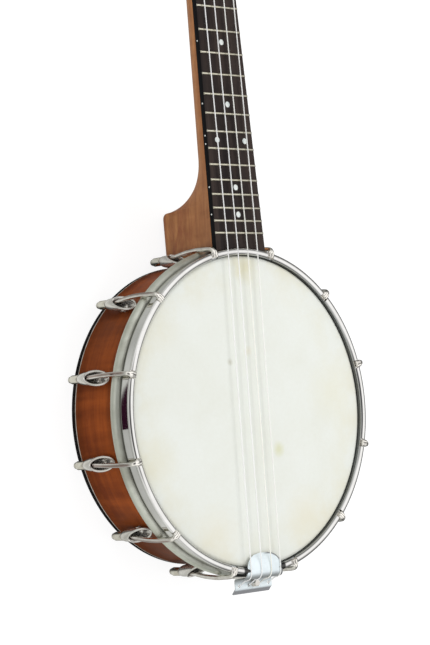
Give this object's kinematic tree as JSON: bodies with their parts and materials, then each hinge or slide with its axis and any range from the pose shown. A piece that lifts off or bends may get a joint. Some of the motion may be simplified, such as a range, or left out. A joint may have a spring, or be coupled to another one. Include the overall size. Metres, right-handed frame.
{
  "type": "banjo ukulele",
  "caption": "Small fretted banjo with a round open-backed pot, a skin head under a hook-tensioned hoop, a short neck and friction tuning pegs.",
  "frame": {"origin": "centre of the head's outer face", "axes": "+Z out of the head, +Y along the neck towards the headstock, +X to the right seen from the front"},
  "size_m": [0.1944, 0.5292, 0.061],
  "materials": {
    "rim_wood": "red-brown polished wood",
    "neck_wood": "light brown satin wood",
    "dark_board": "near-black stained wood with pale metal frets",
    "black_trim": "black gloss",
    "skin": "matt cream skin with faint stains",
    "nickel": "old polished nickel plate",
    "string": "smooth and pale",
    "bone": "smooth cream",
    "peg_wood": "dark polished wood"
  },
  "bodies": {
    "instrument": {"pot_rim": "rim_wood", "rim_binding": "black_trim", "tone_ring": "nickel", "flesh_hoop": "nickel", "drum_head": "skin", "tension_hoop": "nickel", "hook_01": "nickel", "hook_02": "nickel", "hook_03": "nickel", "hook_04": "nickel", "hook_05": "nickel", "hook_06": "nickel", "hook_07": "nickel", "hook_08": "nickel", "hook_09": "nickel", "hook_10": "nickel", "hook_11": "nickel", "hook_12": "nickel", "hook_nut_01": "nickel", "hook_nut_02": "nickel", "hook_nut_03": "nickel", "hook_nut_04": "nickel", "hook_nut_05": "nickel", "hook_nut_06": "nickel", "hook_nut_07": "nickel", "hook_nut_08": "nickel", "hook_nut_09": "nickel", "hook_nut_10": "nickel", "hook_nut_11": "nickel", "hook_nut_12": "nickel", "shoe_01": "nickel", "shoe_02": "nickel", "shoe_03": "nickel", "shoe_04": "nickel", "shoe_05": "nickel", "shoe_06": "nickel", "shoe_07": "nickel", "shoe_08": "nickel", "shoe_09": "nickel", "shoe_10": "nickel", "shoe_11": "nickel", "shoe_12": "nickel", "neck": "neck_wood", "fingerboard": "dark_board", "string_nut": "bone", "dowel_stick": "neck_wood", "neck_brace": "nickel", "tailpiece": "nickel", "tail_bracket": "nickel", "tailpiece_bolt": "nickel", "end_bolt": "nickel", "string_1": "string", "string_2": "string", "string_3": "string", "string_4": "string"},
    "peg_1": {"peg_1": "peg_wood"},
    "peg_2": {"peg_2": "peg_wood"},
    "peg_3": {"peg_3": "peg_wood"},
    "peg_4": {"peg_4": "peg_wood"}
  },
  "joints": [
    {"name": "peg_1_turn", "type": "hinge", "parent": "instrument", "child": "peg_1", "pos_m": [-0.0145, 0.3509, -0.01884], "axis": [0, 0.1109, 0.9938], "continuous": true},
    {"name": "peg_2_turn", "type": "hinge", "parent": "instrument", "child": "peg_2", "pos_m": [-0.0145, 0.38866, -0.02305], "axis": [0, 0.1109, 0.9938], "continuous": true},
    {"name": "peg_3_turn", "type": "hinge", "parent": "instrument", "child": "peg_3", "pos_m": [0.0145, 0.38866, -0.02305], "axis": [0, 0.1109, 0.9938], "continuous": true},
    {"name": "peg_4_turn", "type": "hinge", "parent": "instrument", "child": "peg_4", "pos_m": [0.0145, 0.3509, -0.01884], "axis": [0, 0.1109, 0.9938], "continuous": true}
  ]
}
